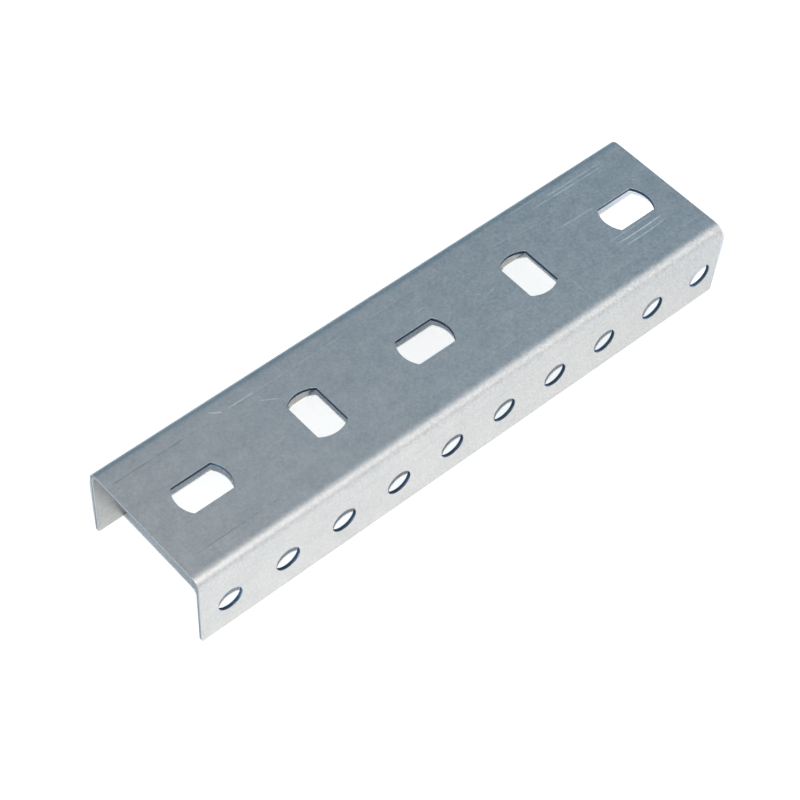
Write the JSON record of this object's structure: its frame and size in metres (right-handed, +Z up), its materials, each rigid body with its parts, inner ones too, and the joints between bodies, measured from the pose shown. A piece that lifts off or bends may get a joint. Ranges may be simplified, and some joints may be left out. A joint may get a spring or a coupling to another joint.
{
  "type": "u-channel profile",
  "caption": "Short length of zinc-coated steel U-channel with slots down its web and rows of round holes in both flanges, for framing and supports.",
  "frame": {"origin": "on the floor under the middle of the channel, which lies web uppermost", "axes": "+X along the channel towards the end whose hole lies nearer the cut, +Y across the web, +Z up, out of the web's outer face"},
  "size_m": [0.2466, 0.06, 0.035],
  "materials": {
    "zinc_steel": "satin zinc coating, even and pale grey, lightly scratched"
  },
  "bodies": {
    "root": {"channel_profile": "zinc_steel"}
  },
  "joints": []
}
